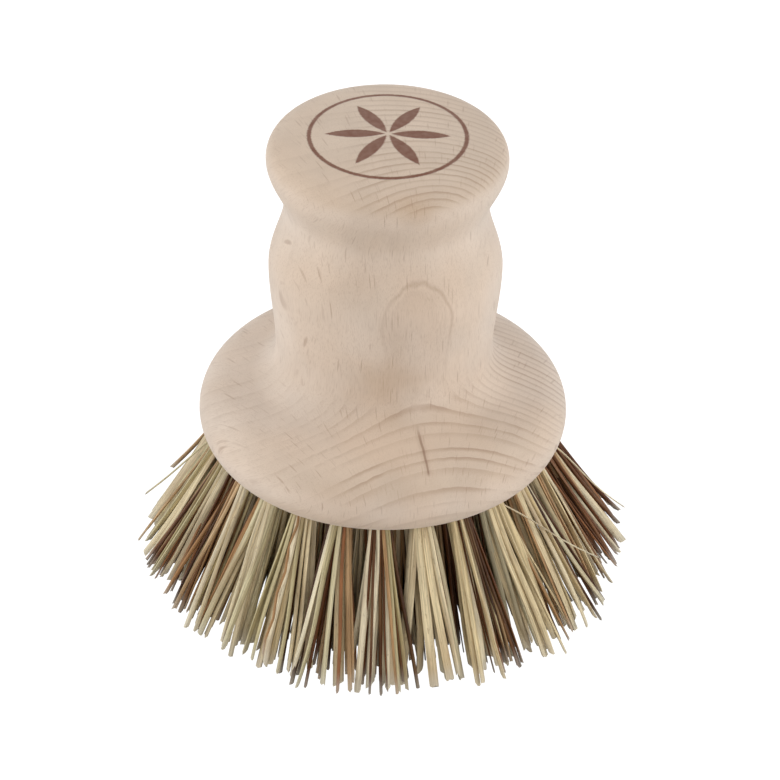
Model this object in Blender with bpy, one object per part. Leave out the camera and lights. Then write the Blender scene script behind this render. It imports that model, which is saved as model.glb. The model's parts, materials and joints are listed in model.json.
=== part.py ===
"""Pot brush: a turned beech block with rings of fibre tufts, each folded round a flat wire anchor in its own blind hole.

It stands on the cut ends of its tufts. Metres, +Z up, with the origin on the ground under the middle of the block.
"""

import math
import random

import bmesh
import bpy
from mathutils import Matrix, Vector

# Block: the head that holds the tufts
HEAD_RADIUS = 0.0300
RIM_ROUNDING = 0.0062
RIM_HEIGHT = 0.00525  # the rim's widest line above the flat underside
HEAD_SLOPE = math.radians(16.0)
COVE_RADIUS = 0.0057

# Block: the barrel, the neck and the knob, each height counted from the one below
WAIST_RADIUS = 0.01755
BARREL_RADIUS = 0.01875
BARREL_RISE = 0.0154
NECK_RADIUS = 0.01635
NECK_RISE = 0.0111
KNOB_RADIUS = 0.0192
KNOB_RISE = 0.0086
TOP_EDGE_WIDTH = 0.0024
TOP_EDGE_HEIGHT = 0.0030
TOP_DOME_HEIGHT = 0.0015

# Tufts: their rings from the rim inwards
TUFTS_IN_RING = (24, 17, 10, 4)
OUTER_RING_INSET = 0.0058  # from the rim's widest line in to the outer ring of holes
RING_SPACING = 0.0063
LEAST_WALL = 0.0004  # of wood between two holes of a ring, at their blind ends
OUTER_LEAN = math.radians(28.0)

# Tufts: one tuft and its hole
TUFT_RADIUS = 0.0019  # where it leaves its hole
FOLD_RADIUS = 0.0015  # where it is folded round its anchor
HOLE_DEPTH = 0.0070
CLEARANCE = 0.0003
BRISTLE_LENGTH = 0.0250  # from the block's underside down to the ground
FAN_ANGLE = math.radians(5.0)  # the lean of a tuft's edge from its own axis
STRAND_GAP = 0.00024
STRAND_WANDER = math.radians(0.7)

# Trimming of the tufts' ends
FLAT_CUT = 0.0005  # how much of the lowest ends is cut off flat
TRIM_RISE = 0.0026  # how much higher the outermost ends are cut
TRIM_UNEVENNESS = 0.0006

# Anchors of flat steel wire
ANCHOR_THICKNESS = 0.00045
ANCHOR_HEIGHT = 0.0020
ANCHOR_SEAT = 0.0012  # from the fold to the anchor's upper edge

# Fineness of the meshes
BLOCK_SIDES = 40
TUFT_SIDES = 8
CORE_SHARE = 0.40  # half the diagonal of the middle strand, as a share of the tuft's radius

RANDOM_SEED = 7

# Colours, in linear light
BEECH_COLOUR = (0.68, 0.55, 0.45)
STEEL_COLOUR = (0.55, 0.56, 0.58)
FIBRE_COLOURS = {
    "straw": (0.62, 0.52, 0.27),
    "pale_green": (0.58, 0.56, 0.36),
    "tan": (0.36, 0.24, 0.13),
    "russet": (0.16, 0.06, 0.03),
    "umber": (0.035, 0.02, 0.013),
}
FIBRE_SHARES = {"straw": 34, "pale_green": 26, "tan": 16, "russet": 13, "umber": 11}


def clear_scene():
    for existing in list(bpy.data.objects):
        bpy.data.objects.remove(existing, do_unlink=True)


def principled(name, colour, roughness, metallic=0.0):
    """A material with one Principled BSDF."""
    material = bpy.data.materials.new(name)
    material.use_nodes = True
    shader = material.node_tree.nodes["Principled BSDF"]
    shader.inputs["Base Color"].default_value = (*colour, 1.0)
    shader.inputs["Roughness"].default_value = roughness
    shader.inputs["Metallic"].default_value = metallic
    material.diffuse_color = (*colour, 1.0)
    return material


def place(name, mesh, matrix=None, parent=None):
    """A new object in the scene that shows this mesh."""
    placed = bpy.data.objects.new(name, mesh)
    bpy.context.scene.collection.objects.link(placed)
    placed.parent = parent
    if matrix is not None:
        placed.matrix_world = matrix
    return placed


def arc(centre, radii, start, end, steps):
    """Points on an ellipse's arc about centre, both ends included. Angles are in radians from +X."""
    points = []
    for step in range(steps + 1):
        angle = start + (end - start) * step / steps
        points.append((centre[0] + radii[0] * math.cos(angle), centre[1] + radii[1] * math.sin(angle)))
    return points


def swell(low, high, steps):
    """Points from low to high where the outline is upright at both ends, without the first."""
    points = []
    for step in range(1, steps + 1):
        share = step / steps
        eased = share * share * (3 - 2 * share)
        points.append((low[0] + (high[0] - low[0]) * eased, low[1] + (high[1] - low[1]) * share))
    return points


def block_outline():
    """(radius, height) points of the turned block, from the rim of its flat underside up to the middle of its top."""
    underside = BRISTLE_LENGTH
    rim_centre = (HEAD_RADIUS - RIM_ROUNDING, underside + RIM_HEIGHT)
    rim_start = -math.asin(min(1.0, RIM_HEIGHT / RIM_ROUNDING))
    rim_end = math.pi / 2 - HEAD_SLOPE
    outline = arc(rim_centre, (RIM_ROUNDING, RIM_ROUNDING), rim_start, rim_end, 8)

    # The slope runs straight from the rim to the cove, and the cove turns it upright at the waist.
    slope_foot = outline[-1]
    cove_radius_reached = WAIST_RADIUS + COVE_RADIUS * (1 - math.cos(rim_end))
    slope_top = slope_foot[1] + (slope_foot[0] - cove_radius_reached) * math.tan(HEAD_SLOPE)
    waist_height = slope_top + COVE_RADIUS * math.sin(rim_end)
    cove_centre = (WAIST_RADIUS + COVE_RADIUS, waist_height)
    outline += arc(cove_centre, (COVE_RADIUS, COVE_RADIUS), math.pi + rim_end, math.pi, 5)

    barrel = (BARREL_RADIUS, waist_height + BARREL_RISE)
    neck = (NECK_RADIUS, barrel[1] + NECK_RISE)
    knob = (KNOB_RADIUS, neck[1] + KNOB_RISE)
    outline += swell(outline[-1], barrel, 4)
    outline += swell(barrel, neck, 4)
    outline += swell(neck, knob, 4)

    edge_centre = (KNOB_RADIUS - TOP_EDGE_WIDTH, knob[1])
    top_edge = arc(edge_centre, (TOP_EDGE_WIDTH, TOP_EDGE_HEIGHT), 0.0, math.radians(75.0), 3)
    outline += top_edge[1:]
    dome_foot = top_edge[-1]
    dome_middle = (dome_foot[0] * 0.55, dome_foot[1] + TOP_DOME_HEIGHT * 0.7)
    outline += [dome_middle, (0.0, dome_foot[1] + TOP_DOME_HEIGHT)]
    return outline


def turned_mesh(name, outline, sides):
    """A solid turned about Z. The outline starts at the edge of a flat face and ends on the axis."""
    shape = bmesh.new()
    rings = []
    for radius, height in outline[:-1]:
        ring = []
        for side in range(sides):
            angle = 2 * math.pi * side / sides
            ring.append(shape.verts.new((radius * math.cos(angle), radius * math.sin(angle), height)))
        rings.append(ring)
    top = shape.verts.new((0.0, 0.0, outline[-1][1]))
    shape.faces.new(reversed(rings[0]))
    for side in range(sides):
        following = (side + 1) % sides
        for lower, upper in zip(rings, rings[1:]):
            shape.faces.new((lower[side], lower[following], upper[following], upper[side]))
        shape.faces.new((rings[-1][side], rings[-1][following], top))
    mesh = bpy.data.meshes.new(name)
    shape.to_mesh(mesh)
    shape.free()
    return mesh


class Seat:
    """The place of one tuft: local -Z runs out of the block along the tuft, and local X points away from the middle."""

    def __init__(self, ring, number, radius, outer_radius, azimuth):
        self.ring = ring
        self.number = number
        self.lean = OUTER_LEAN * radius / outer_radius
        turn = Matrix.Rotation(azimuth, 4, "Z")
        self.matrix = turn @ Matrix.Translation((radius, 0.0, BRISTLE_LENGTH)) @ Matrix.Rotation(-self.lean, 4, "Y")


def hole_radius():
    """Corner radius of a hole whose flat sides clear the tuft's by CLEARANCE."""
    return TUFT_RADIUS + CLEARANCE / math.cos(math.pi / TUFT_SIDES)


def tuft_seats():
    """Every tuft's seat. A ring holds fewer tufts than planned where its holes would meet inside the wood."""
    seats = []
    outer_radius = HEAD_RADIUS - OUTER_RING_INSET
    for ring, planned in enumerate(TUFTS_IN_RING):
        radius = outer_radius - ring * RING_SPACING
        blind_radius = radius - HOLE_DEPTH * math.sin(OUTER_LEAN * radius / outer_radius)
        room = int(2 * math.pi * blind_radius / (2 * hole_radius() + LEAST_WALL))
        count = min(planned, room)
        for number in range(count):
            azimuth = 2 * math.pi * (number + 0.5 * (ring % 2)) / count - math.pi / 2
            seats.append(Seat(ring, number, radius, outer_radius, azimuth))
    return seats


def prism_ring(shape, radius, height):
    """A tuft's or a hole's cross-section, with flat sides facing +X and +Y."""
    ring = []
    for side in range(TUFT_SIDES):
        angle = 2 * math.pi * (side + 0.5) / TUFT_SIDES
        ring.append(shape.verts.new((radius * math.cos(angle), radius * math.sin(angle), height)))
    return ring


def close_sides(shape, lower, upper):
    for side in range(len(lower)):
        following = (side + 1) % len(lower)
        shape.faces.new((lower[side], lower[following], upper[following], upper[side]))


def mouth_offset(lean):
    """How far along its axis a hole's rim reaches past the middle of its mouth."""
    return hole_radius() * math.tan(lean)


def hole_cutter(seats):
    """One hidden object with the shape of every blind hole, each run out well past the underside."""
    shape = bmesh.new()
    for seat in seats:
        before = len(shape.verts)
        mouth = prism_ring(shape, hole_radius(), -2 * mouth_offset(seat.lean) - TUFT_RADIUS)
        blind = prism_ring(shape, hole_radius(), HOLE_DEPTH)
        close_sides(shape, mouth, blind)
        shape.faces.new(reversed(mouth))
        shape.faces.new(blind)
        shape.verts.ensure_lookup_table()
        bmesh.ops.transform(shape, matrix=seat.matrix, verts=shape.verts[before:])
    mesh = bpy.data.meshes.new("hole_cutter")
    shape.to_mesh(mesh)
    shape.free()
    cutter = place("hole_cutter", mesh)
    cutter.hide_render = True
    cutter.display_type = "WIRE"
    return cutter


def make_block(seats, beech):
    """The block: knob, neck, barrel and head turned in one, with its tuft holes bored in the underside."""
    mesh = turned_mesh("block", block_outline(), BLOCK_SIDES)
    mesh.materials.append(beech)
    mesh.shade_smooth()
    mesh.set_sharp_from_angle(angle=math.radians(40.0))
    block = place("block", mesh)
    bore = block.modifiers.new("tuft_holes", "BOOLEAN")
    bore.operation = "DIFFERENCE"
    bore.object = hole_cutter(seats)
    return block


def trim_height(reach, chance):
    """Height at which a strand this far from the middle is cut. The lowest ends are cut off flat at the ground."""
    spread = HEAD_RADIUS - OUTER_RING_INSET + BRISTLE_LENGTH * math.tan(OUTER_LEAN)
    rise = TRIM_RISE * (reach / spread) ** 2
    return max(0.0, rise - FLAT_CUT + chance.uniform(-TRIM_UNEVENNESS, TRIM_UNEVENNESS))


def strand_cells(shape, mouth, height):
    """Divides a tuft's end into a middle square, a four-sided cell on each main side and a corner cell between them."""
    core = []
    for corner in range(4):
        angle = math.pi / 4 + math.pi / 2 * corner
        reach = CORE_SHARE * TUFT_RADIUS
        core.append(shape.verts.new((reach * math.cos(angle), reach * math.sin(angle), height)))
    cells = [shape.faces.new(reversed(core))]
    for corner in range(4):
        left, right = mouth[2 * corner], mouth[(2 * corner + 1) % TUFT_SIDES]
        beyond = mouth[(2 * corner + 2) % TUFT_SIDES]
        following = core[(corner + 1) % 4]
        cells.append(shape.faces.new((core[corner], right, left)))
        cells.append(shape.faces.new((core[corner], following, beyond, right)))
    return cells


def tuft_mesh(name, seat, chance):
    """A tuft: its folded root in one piece, and strands that fan out of it to their cut ends."""
    shape = bmesh.new()
    mouth_height = -mouth_offset(seat.lean)
    mouth = prism_ring(shape, TUFT_RADIUS, mouth_height)
    fold = prism_ring(shape, FOLD_RADIUS, HOLE_DEPTH - CLEARANCE)
    close_sides(shape, mouth, fold)
    shape.faces.new(fold)
    cells = strand_cells(shape, mouth, mouth_height)
    bmesh.ops.inset_individual(shape, faces=cells, thickness=STRAND_GAP / 2, use_even_offset=True)
    ends = bmesh.ops.extrude_discrete_faces(shape, faces=cells)["faces"]

    to_world = seat.matrix
    to_local = seat.matrix.inverted()
    colours = list(FIBRE_SHARES)
    fan = math.tan(FAN_ANGLE) / TUFT_RADIUS
    wander = math.tan(STRAND_WANDER)
    for end in ends:
        middle = end.calc_center_median()
        aim = Vector((fan * middle.x, fan * middle.y, -1.0))
        aim.x += chance.uniform(-wander, wander)
        aim.y += chance.uniform(-wander, wander)
        heading = to_world.to_3x3() @ aim
        start = to_world @ middle
        landing = start - heading * (start.z / heading.z)
        cut = trim_height(math.hypot(landing.x, landing.y), chance)
        for corner in end.verts:
            at = to_world @ corner.co
            corner.co = to_local @ (at + heading * ((cut - at.z) / heading.z))
        colour = colours.index(chance.choices(colours, weights=FIBRE_SHARES.values())[0])
        end.material_index = colour
        for edge in end.edges:
            for side in edge.link_faces:
                side.material_index = colour
    bmesh.ops.recalc_face_normals(shape, faces=shape.faces)
    mesh = bpy.data.meshes.new(name)
    shape.to_mesh(mesh)
    shape.free()
    return mesh


def anchor_mesh(steel):
    """A flat piece of steel wire that crosses a tuft at its fold, and whose ends reach for the wall of the hole."""
    hole_flat = hole_radius() * math.cos(math.pi / TUFT_SIDES)
    half_width = hole_flat - CLEARANCE
    top = HOLE_DEPTH - CLEARANCE - ANCHOR_SEAT
    shape = bmesh.new()
    bmesh.ops.create_cube(shape, size=1.0)
    bmesh.ops.scale(shape, vec=(ANCHOR_THICKNESS, 2 * half_width, ANCHOR_HEIGHT), verts=shape.verts)
    bmesh.ops.translate(shape, vec=(0.0, 0.0, top - ANCHOR_HEIGHT / 2), verts=shape.verts)
    mesh = bpy.data.meshes.new("anchor")
    shape.to_mesh(mesh)
    shape.free()
    mesh.materials.append(steel)
    return mesh


def make_tuft(seat, fibres, anchor, chance):
    """One tuft with its anchor joined to it."""
    name = f"tuft_{seat.ring + 1}_{seat.number + 1:02d}"
    mesh = tuft_mesh(name, seat, chance)
    for fibre in fibres:
        mesh.materials.append(fibre)
    tuft = place(name, mesh, seat.matrix)
    plate = place(name + "_anchor", anchor, seat.matrix, tuft)
    plate.hide_render = True
    plate.display_type = "WIRE"
    joined = tuft.modifiers.new("anchor", "BOOLEAN")
    joined.operation = "UNION"
    joined.material_mode = "TRANSFER"
    joined.object = plate
    return tuft


def main():
    clear_scene()
    chance = random.Random(RANDOM_SEED)
    beech = principled("beech", BEECH_COLOUR, roughness=0.6)
    steel = principled("anchor_steel", STEEL_COLOUR, roughness=0.35, metallic=1.0)
    fibres = [principled("fibre_" + name, colour, roughness=0.55) for name, colour in FIBRE_COLOURS.items()]
    seats = tuft_seats()
    make_block(seats, beech)
    anchor = anchor_mesh(steel)
    for seat in seats:
        make_tuft(seat, fibres, anchor, chance)


main()
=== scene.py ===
# %% [markdown]
# A pot brush, piece by piece
#
# This lesson dresses the solid model of a small round pot brush. The real brush is a beech block, turned in
# one piece, with 55 tufts of plant fibre in blind holes. Each tuft is folded round a short piece of flat
# steel wire.
#
# The solids give the sizes and the places. Everything here is built round them in metres, in the same
# frame.

# %% Load the solid model
import json
import math
import random
from collections import namedtuple

import bmesh
import bpy
import numpy as np
from mathutils import Matrix, Vector

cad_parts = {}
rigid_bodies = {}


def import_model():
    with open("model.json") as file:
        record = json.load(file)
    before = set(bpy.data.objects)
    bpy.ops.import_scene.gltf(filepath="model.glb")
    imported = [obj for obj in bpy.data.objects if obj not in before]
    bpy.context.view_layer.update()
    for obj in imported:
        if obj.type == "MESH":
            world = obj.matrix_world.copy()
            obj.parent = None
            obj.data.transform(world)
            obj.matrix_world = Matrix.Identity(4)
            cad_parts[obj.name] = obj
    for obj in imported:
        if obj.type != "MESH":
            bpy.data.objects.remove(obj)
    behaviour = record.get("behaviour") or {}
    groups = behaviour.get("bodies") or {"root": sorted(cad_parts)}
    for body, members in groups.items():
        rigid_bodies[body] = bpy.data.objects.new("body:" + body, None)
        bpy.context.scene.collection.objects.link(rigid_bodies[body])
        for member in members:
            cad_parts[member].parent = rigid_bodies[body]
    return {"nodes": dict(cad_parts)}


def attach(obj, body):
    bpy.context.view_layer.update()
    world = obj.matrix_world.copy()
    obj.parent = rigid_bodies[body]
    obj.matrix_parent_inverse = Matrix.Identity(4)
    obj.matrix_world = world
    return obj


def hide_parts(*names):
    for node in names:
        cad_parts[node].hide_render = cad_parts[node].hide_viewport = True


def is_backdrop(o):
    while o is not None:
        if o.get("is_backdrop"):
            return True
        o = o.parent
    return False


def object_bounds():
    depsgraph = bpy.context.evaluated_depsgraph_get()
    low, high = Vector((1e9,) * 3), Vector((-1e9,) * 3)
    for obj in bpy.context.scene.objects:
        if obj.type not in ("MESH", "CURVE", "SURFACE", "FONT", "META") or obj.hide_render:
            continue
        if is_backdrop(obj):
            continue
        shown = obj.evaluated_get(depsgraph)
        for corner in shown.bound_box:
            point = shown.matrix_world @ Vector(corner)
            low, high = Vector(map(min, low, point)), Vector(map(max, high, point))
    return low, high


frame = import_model()
cad_low, cad_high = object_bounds()
print("solid model:", len(frame["nodes"]), "nodes")
print("its size in mm:", [round(1000 * side, 1) for side in cad_high - cad_low])

# %% [markdown]
# The outline of the block
#
# A turner works from an outline: the curve that a lathe sweeps round the axis. This one has a rounded rim,
# a gentle slope, a cove, a barrel, a neck and a knob. Arcs and eased swells draw it, so a few real sizes
# decide the whole shape. The numbers are those of the solid block. Only the steps are finer, since here the
# surface has to look smooth.

# %% Draw the outline
UNDERSIDE = 0.0250
HEAD_RADIUS = 0.0300
RIM_ROUNDING = 0.0062
RIM_HEIGHT = 0.00525
HEAD_SLOPE = math.radians(16.0)
COVE_RADIUS = 0.0057
WAIST_RADIUS = 0.01755
BARREL_RADIUS, BARREL_RISE = 0.01875, 0.0154
NECK_RADIUS, NECK_RISE = 0.01635, 0.0111
KNOB_RADIUS, KNOB_RISE = 0.0192, 0.0086
TOP_EDGE_WIDTH, TOP_EDGE_HEIGHT = 0.0024, 0.0030
TOP_DOME_HEIGHT = 0.0015


def arc(centre, width, height, start, end, steps):
    """Points on an ellipse's arc, both ends included. Angles are in radians from +X."""
    angles = np.linspace(start, end, steps + 1)
    return [(centre[0] + width * math.cos(a), centre[1] + height * math.sin(a)) for a in angles]


def swell(low, high, steps):
    """Points from low to high, where the outline is upright at both ends, without the first."""
    shares = np.linspace(0, 1, steps + 1)[1:]
    wide, tall = high[0] - low[0], high[1] - low[1]
    return [(low[0] + wide * s * s * (3 - 2 * s), low[1] + tall * s) for s in shares]


def block_outline():
    """(radius, height) points from the rim of the flat underside up to the middle of the top."""
    rim_centre = (HEAD_RADIUS - RIM_ROUNDING, UNDERSIDE + RIM_HEIGHT)
    rim_end = math.pi / 2 - HEAD_SLOPE
    rim_start = -math.asin(RIM_HEIGHT / RIM_ROUNDING)
    points = arc(rim_centre, RIM_ROUNDING, RIM_ROUNDING, rim_start, rim_end, 26)
    foot = points[-1]
    reached = WAIST_RADIUS + COVE_RADIUS * (1 - math.cos(rim_end))
    slope_top = foot[1] + (foot[0] - reached) * math.tan(HEAD_SLOPE)
    waist = slope_top + COVE_RADIUS * math.sin(rim_end)
    for share in (0.25, 0.5, 0.75):
        points.append((foot[0] + (reached - foot[0]) * share, foot[1] + (slope_top - foot[1]) * share))
    cove_centre = (WAIST_RADIUS + COVE_RADIUS, waist)
    points += arc(cove_centre, COVE_RADIUS, COVE_RADIUS, math.pi + rim_end, math.pi, 14)
    barrel = (BARREL_RADIUS, waist + BARREL_RISE)
    neck = (NECK_RADIUS, barrel[1] + NECK_RISE)
    knob = (KNOB_RADIUS, neck[1] + KNOB_RISE)
    points += swell(points[-1], barrel, 20) + swell(barrel, neck, 16) + swell(neck, knob, 14)
    edge_centre = (KNOB_RADIUS - TOP_EDGE_WIDTH, knob[1])
    edge = arc(edge_centre, TOP_EDGE_WIDTH, TOP_EDGE_HEIGHT, 0, math.radians(75), 10)
    points += edge[1:]
    foot = edge[-1]
    for angle in np.radians(np.linspace(15, 90, 12)):
        points.append((foot[0] * math.cos(angle), foot[1] + TOP_DOME_HEIGHT * math.sin(angle)))
    points[-1] = (0.0, foot[1] + TOP_DOME_HEIGHT)
    return points


outline = block_outline()
print("outline:", len(outline), "points, top at", round(1000 * outline[-1][1], 2), "mm")

# %% [markdown]
# Turning the block
#
# A Screw modifier or the Spin operator would turn the outline too. Writing the rings directly is as short,
# and it gives even quads whose order is known. The flat underside is one face, closed like the blank on its
# faceplate.

# %% Turn the block
BLOCK_SIDES = 224


def turned(name, points, sides):
    """A closed mesh turned about Z from an outline that ends on the axis."""
    turn = 2 * math.pi / sides
    angles = [turn * side for side in range(sides)]
    corners = [(r * math.cos(a), r * math.sin(a), z) for r, z in points[:-1] for a in angles]
    rows = len(points) - 1
    top = len(corners)
    corners.append((0.0, 0.0, points[-1][1]))
    faces = [tuple(range(sides - 1, -1, -1))]
    for side in range(sides):
        after = (side + 1) % sides
        for row in range(rows - 1):
            low, high = row * sides, (row + 1) * sides
            faces.append((low + side, low + after, high + after, high + side))
        faces.append(((rows - 1) * sides + side, (rows - 1) * sides + after, top))
    mesh = bpy.data.meshes.new(name)
    mesh.from_pydata(corners, [], faces)
    return mesh


def show(name, data):
    """Puts a mesh, a lamp or a camera into the scene as an object."""
    shown = bpy.data.objects.new(name, data)
    bpy.context.scene.collection.objects.link(shown)
    return shown


block = show("beech_block", turned("beech_block", outline, BLOCK_SIDES))
print("turned block:", len(block.data.polygons), "faces")

# %% [markdown]
# Where the tufts sit
#
# The holes lie in four rings. A tuft leans outwards in proportion to how far it is from the middle, which
# is how a drilling machine tilts the block. A seat holds a matrix: its local -Z runs out along the tuft,
# and local X points outwards.

# %% Find the seats
TUFTS_IN_RING = (24, 17, 10, 4)
OUTER_RING_INSET = 0.0058
RING_SPACING = 0.0063
OUTER_LEAN = math.radians(28.0)
OUTER_RING = HEAD_RADIUS - OUTER_RING_INSET

Seat = namedtuple("Seat", "ring number azimuth lean matrix")


def tuft_seats():
    """The seat of every tuft, from the rim inwards."""
    found = []
    for ring, count in enumerate(TUFTS_IN_RING):
        radius = OUTER_RING - ring * RING_SPACING
        lean = OUTER_LEAN * radius / OUTER_RING
        for number in range(count):
            azimuth = 2 * math.pi * (number + 0.5 * (ring % 2)) / count - math.pi / 2
            turn = Matrix.Rotation(azimuth, 4, "Z")
            matrix = turn @ Matrix.Translation((radius, 0, UNDERSIDE)) @ Matrix.Rotation(-lean, 4, "Y")
            found.append(Seat(ring, number, azimuth, lean, matrix))
    return found


seats = tuft_seats()
print("seats:", len(seats))

# %% [markdown]
# Boring the holes
#
# Every tuft sits in a blind hole with a flat bottom. One Boolean with all the drills joined in one mesh is
# quicker than 55 of them. The EXACT solver copes with the thin walls between the holes. It is applied here,
# so that the piece keeps a plain mesh and the drills can be deleted.

# %% Bore the holes
HOLE_RADIUS = 0.00205
HOLE_DEPTH = 0.0070
HOLE_SIDES = 20
BLOCK_SHARP = math.radians(38)  # edges of the block sharper than this stay sharp


def finished(name, shape):
    """Turns a bmesh that is ready into a mesh."""
    mesh = bpy.data.meshes.new(name)
    shape.to_mesh(mesh)
    shape.free()
    return mesh


def drills():
    """One mesh with the shape of every hole, each run out well past the underside."""
    shape = bmesh.new()
    for seat in seats:
        out = 2 * HOLE_RADIUS * math.tan(seat.lean) + HOLE_RADIUS
        middle = Matrix.Translation((0, 0, (HOLE_DEPTH - out) / 2))
        bmesh.ops.create_cone(
            shape, cap_ends=True, segments=HOLE_SIDES, radius1=HOLE_RADIUS, radius2=HOLE_RADIUS,
            depth=HOLE_DEPTH + out, matrix=seat.matrix @ middle,
        )
    return show("drills", finished("drills", shape))


def smooth(mesh, sharp_angle):
    """Shades a mesh smooth, apart from the edges that are sharper than an angle."""
    mesh.shade_smooth()
    mesh.set_sharp_from_angle(angle=sharp_angle)


def bore(solid):
    """Cuts the holes out of the block for good."""
    cutter = drills()
    cut = solid.modifiers.new("holes", "BOOLEAN")
    cut.operation, cut.solver, cut.object = "DIFFERENCE", "EXACT", cutter
    evaluated = solid.evaluated_get(bpy.context.evaluated_depsgraph_get())
    mesh = bpy.data.meshes.new_from_object(evaluated)
    solid.modifiers.remove(cut)
    solid.data = mesh
    bpy.data.objects.remove(cutter)
    smooth(mesh, BLOCK_SHARP)


bore(block)
print("bored block:", len(block.data.polygons), "faces")

# %% [markdown]
# A few helpers for node trees
#
# Materials are built from nodes. What a node gives out is kept as a Value here, and plain arithmetic with
# values adds the Math nodes, so the recipes below read like formulas.

# %% Node helpers
class Value:
    """What a node gives out at one of its outputs. Arithmetic with it adds Math nodes."""

    def __init__(self, output):
        self.output, self.tree = output, output.id_data

    def __add__(self, other):
        return maths("ADD", self, other)

    def __sub__(self, other):
        return maths("SUBTRACT", self, other)

    def __rsub__(self, other):
        return maths("SUBTRACT", other, self)

    def __mul__(self, other):
        return maths("MULTIPLY", self, other)

    __radd__, __rmul__ = __add__, __mul__


def feed(node, inputs):
    """Gives a node its inputs, by name or number. Each is a Value, or a plain number, colour or vector."""
    for socket, given in inputs.items():
        if isinstance(given, Value):
            given.tree.links.new(given.output, node.inputs[socket])
        else:
            node.inputs[socket].default_value = given


def add(tree, kind, inputs=None, **settings):
    """Adds a node to a tree, with its settings and inputs."""
    node = tree.nodes.new(kind)
    for name, setting in settings.items():
        setattr(node, name, setting)
    feed(node, inputs or {})
    return node


def outcome(tree, kind, inputs=None, output=0, **settings):
    """Adds a node and returns what it gives out at one output, by name or number."""
    return Value(add(tree, kind, inputs, **settings).outputs[output])


def tree_of(values):
    """The tree that the Values among these belong to."""
    return next(each.tree for each in values if isinstance(each, Value))


def maths(operation, *values):
    """What one Math node gives out."""
    return outcome(tree_of(values), "ShaderNodeMath", dict(enumerate(values)), operation=operation)


def vector_maths(operation, *values, output="Vector"):
    """What one Vector Math node gives out."""
    inputs = dict(enumerate(values))
    return outcome(tree_of(values), "ShaderNodeVectorMath", inputs, output, operation=operation)


def distance(first, second):
    """How far two points are apart."""
    return vector_maths("DISTANCE", first, second, output="Value")


def parts(vector):
    """The three parts of a vector."""
    return [Value(part) for part in add(vector.tree, "ShaderNodeSeparateXYZ", {0: vector}).outputs]


print("arithmetic with nodes is ready")

# %% [markdown]
# Soft steps and noise
#
# Most of the patterns here are a noise or a distance put through a soft step. A Map Range node set to
# Smooth Step makes the step. A Noise Texture read in metres gives the part that is left to chance, so that
# a pattern keeps its size on every piece.

# %% Soft steps and noise
def ramp(given, low, high, to_low=0.0, to_high=1.0):
    """A smooth rise from to_low to to_high while the given value goes from low to high."""
    inputs = {"Value": given, "From Min": low, "From Max": high, "To Min": to_low, "To Max": to_high}
    return outcome(given.tree, "ShaderNodeMapRange", inputs, interpolation_type="SMOOTHSTEP")


def noise(vector, scale, detail=2.0, roughness=0.5):
    """The grey output of a noise with its scale in cells per metre."""
    inputs = {"Vector": vector, "Scale": scale, "Detail": detail, "Roughness": roughness}
    return outcome(vector.tree, "ShaderNodeTexNoise", inputs)


def shake(vector, scale, amount):
    """A random shift of at most half the amount either way."""
    return amount * (noise(vector, scale, 1.0) - 0.5)


print("soft steps and noise are ready")

# %% [markdown]
# Node groups
#
# A node group is a part of a recipe with a name and sockets of its own, so it is built once and placed
# where it is needed. Its sockets are made with interface.new_socket. The groups here give out only values
# and vectors, and the shader itself stays in the material.

# %% Group helpers
def new_group(name, inputs, outputs):
    """An empty node group: its tree, the Values that come in, and the node that takes what goes out."""
    tree = bpy.data.node_groups.new(name, "ShaderNodeTree")
    for direction, sockets in (("INPUT", inputs), ("OUTPUT", outputs)):
        for socket, kind in sockets.items():
            tree.interface.new_socket(socket, in_out=direction, socket_type="NodeSocket" + kind)
    given = tree.nodes.new("NodeGroupInput")
    return tree, [Value(given.outputs[socket]) for socket in inputs], tree.nodes.new("NodeGroupOutput")


def use_group(group, inputs):
    """Places a node group beside its inputs. Returns what it gives out, by name."""
    node = add(tree_of(inputs.values()), "ShaderNodeGroup", inputs, node_tree=group)
    return {output.name: Value(output) for output in node.outputs}


print("group helpers are ready")

# %% [markdown]
# Where a point lay in the tree
#
# Turned wood shows the tree it came from. The blank was sawn with the grain upright and the heart of the
# tree in front of it, a little to the right. So every pattern is drawn in the tree's own terms: how far
# round, how far out and how high. Cut by the curved surface, these give arcs on the head, a closed eye on
# the barrel and arcs on the knob by themselves. The tree leaned and wasn't quite round, so the rings stray
# a little from upright circles.

# %% Node group: place in the tree
BARREL_LEVEL = 0.0582
HEART = (0.0109, -0.0366, 0.0)  # where the heart of the tree lay at the barrel's level
HEART_DRIFT = (0.083, 0.538, 0.0)  # how far it moved for each metre of height
RING_LEAN = -0.113  # how far a ring leans outwards for each metre of height
RING_BOW = 574.0  # how far it leans besides, with the cube of the height above the barrel's level
SIDE_LEAN, SIDE_TWIST, SIDE_BOW = 0.048, 12.8, 366.0  # its stray sideways: even, with height, with the cube
RAY_HEART = (0.0090, -0.0483, 0.0)  # where the rays run together
AXIS = (0.0, 0.0, 0.0)
IN_PLAN = (1.0, 1.0, 0.0)  # a point times this loses its height


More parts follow.
